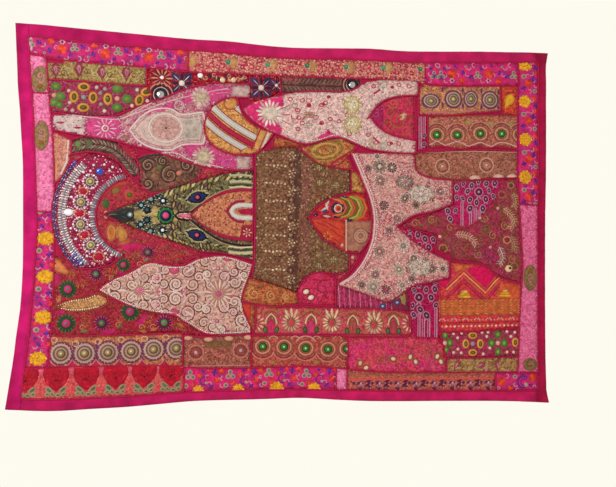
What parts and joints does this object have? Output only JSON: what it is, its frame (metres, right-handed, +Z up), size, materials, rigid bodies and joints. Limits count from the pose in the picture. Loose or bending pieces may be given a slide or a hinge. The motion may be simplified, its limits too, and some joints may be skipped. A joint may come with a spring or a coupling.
{
  "type": "beaded patchwork wall hanging",
  "caption": "Landscape patchwork wall hanging of garment yokes and sari borders, embroidered and beaded, with plain magenta cotton bands, pinned at its corners.",
  "frame": {"origin": "on the wall plane y = 0, behind the middle of the hanging's top edge", "axes": "+X to the viewer's right along the long side, +Z up, the cloth in front of the wall on the -Y side"},
  "size_m": [1.522, 0.0168, 1.0369],
  "materials": {
    "band_cotton": "plain woven cotton, soft",
    "sari_border": "printed and embroidered cotton",
    "patch_cloth": "embroidered silk and brocade patches, beaded",
    "beaded_crimson": "silk under glass beads and mirrors",
    "olive_brocade": "dark brocade with metal thread",
    "salmon_silk": "silk, satin sheen",
    "pink_brocade": "silk brocade, beaded",
    "striped_silk": "striped silk, satin sheen",
    "cream_brocade": "silk brocade with sequins",
    "brown_sequin_cloth": "brown cloth covered in sequins",
    "feather_silk": "embroidered silk",
    "beaded_net": "beaded net over pink cloth",
    "cream_scrollwork": "thick cream scroll embroidery"
  },
  "bodies": {
    "root": {"band_top": "band_cotton", "band_bottom": "band_cotton", "band_left": "band_cotton", "band_right": "band_cotton", "strip_top": "sari_border", "strip_bottom": "sari_border", "strip_left": "sari_border", "strip_right": "sari_border", "collage_ground": "patch_cloth", "crescent_neckpiece": "beaded_crimson", "leaf_yoke": "olive_brocade", "salmon_bib": "salmon_silk", "pink_yoke": "pink_brocade", "striped_medallion": "striped_silk", "white_yoke": "cream_brocade", "brown_sequin_panel": "brown_sequin_cloth", "lens_insert": "feather_silk", "lace_yoke": "beaded_net", "scroll_yoke": "cream_scrollwork"}
  },
  "joints": []
}
